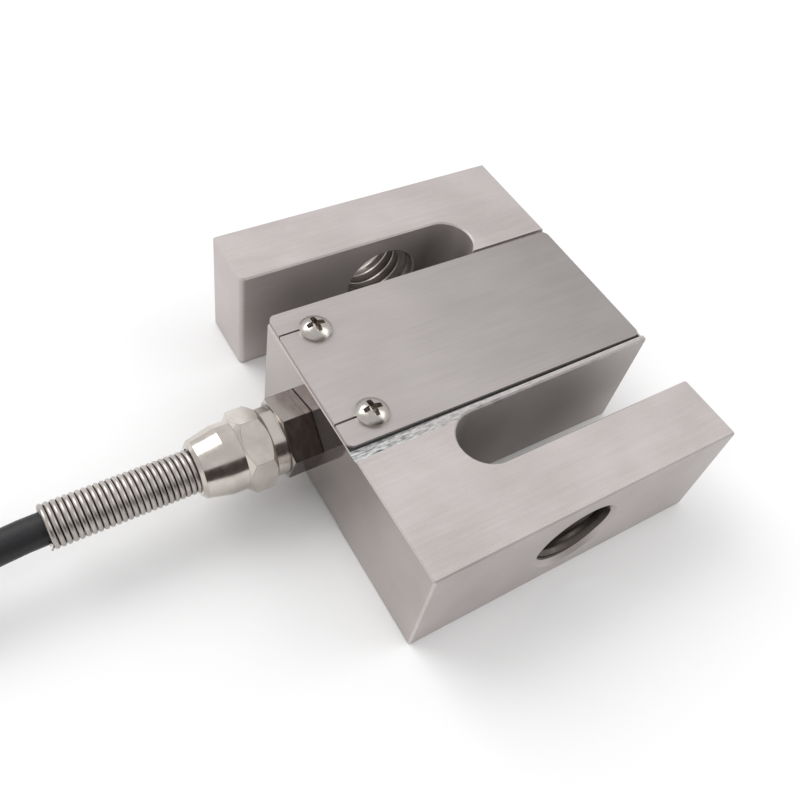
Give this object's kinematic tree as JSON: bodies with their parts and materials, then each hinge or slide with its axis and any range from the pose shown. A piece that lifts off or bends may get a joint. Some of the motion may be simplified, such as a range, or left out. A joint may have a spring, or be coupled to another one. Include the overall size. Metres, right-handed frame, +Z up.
{
  "type": "s-beam weighing load cell",
  "caption": "S-shaped weighing load cell with a threaded hole in each arm, a thin cover plate, a spring-guarded cable gland and a coiled signal cable with bare leads.",
  "frame": {"origin": "centre of the sensing block's footprint, on its underside, with the block lying flat", "axes": "+X along the arms, away from the cable; +Y along the load axis, from the near arm to the far arm; +Z up through the block's thickness, towards the screwed cover"},
  "size_m": [0.1733, 0.0873, 0.0205],
  "materials": {
    "cell_plating": "satin nickel plating on machined steel",
    "cover_plate": "satin rolled sheet",
    "sealant": "cured silicone sealant",
    "screw_plating": "bright nickel plating",
    "gland_nickel": "bright nickel plating on turned metal",
    "spring_wire": "bright drawn wire",
    "cable_jacket": "matte extruded jacket",
    "core_yellow": "extruded insulation",
    "core_white": "extruded insulation",
    "core_green": "extruded insulation",
    "core_black": "extruded insulation",
    "core_red": "extruded insulation",
    "tinned_wire": "tinned strands",
    "bush_rubber": "moulded rubber",
    "clamp_plastic": "moulded plastic",
    "board_laminate": "lacquered laminate",
    "foam_pad": "adhesive foam pad",
    "resistor_body": "moulded body",
    "gauge_film": "polyimide film under clear coat",
    "enamel_wire": "enamelled wire"
  },
  "bodies": {
    "root": {"sensor_body": "cell_plating", "front_cover": "cover_plate", "rear_cover": "cover_plate", "front_cover_seal": "sealant", "rear_cover_seal": "sealant", "front_screw_near": "screw_plating", "front_screw_far": "screw_plating", "gland_body": "gland_nickel", "gland_nut": "gland_nickel", "gland_bush": "bush_rubber", "gland_clamp_ring": "clamp_plastic", "guard_spring": "spring_wire", "cable_inner": "cable_jacket", "cable_lead": "cable_jacket", "cable_coil": "cable_jacket", "cable_tail": "cable_jacket", "shield_core": "core_yellow", "white_core": "core_white", "green_core": "core_green", "black_core": "core_black", "red_core": "core_red", "bare_conductors": "tinned_wire", "board_pad": "foam_pad", "terminal_board": "board_laminate", "resistor_near": "resistor_body", "resistor_far": "resistor_body", "red_core_inner": "core_red", "white_core_inner": "core_white", "black_core_inner": "core_black", "green_core_inner": "core_green", "gauge_left_near": "gauge_film", "gauge_wire_left_near": "enamel_wire", "gauge_left_far": "gauge_film", "gauge_wire_left_far": "enamel_wire", "gauge_right_near": "gauge_film", "gauge_wire_right_near": "enamel_wire", "gauge_right_far": "gauge_film", "gauge_wire_right_far": "enamel_wire"}
  },
  "joints": []
}
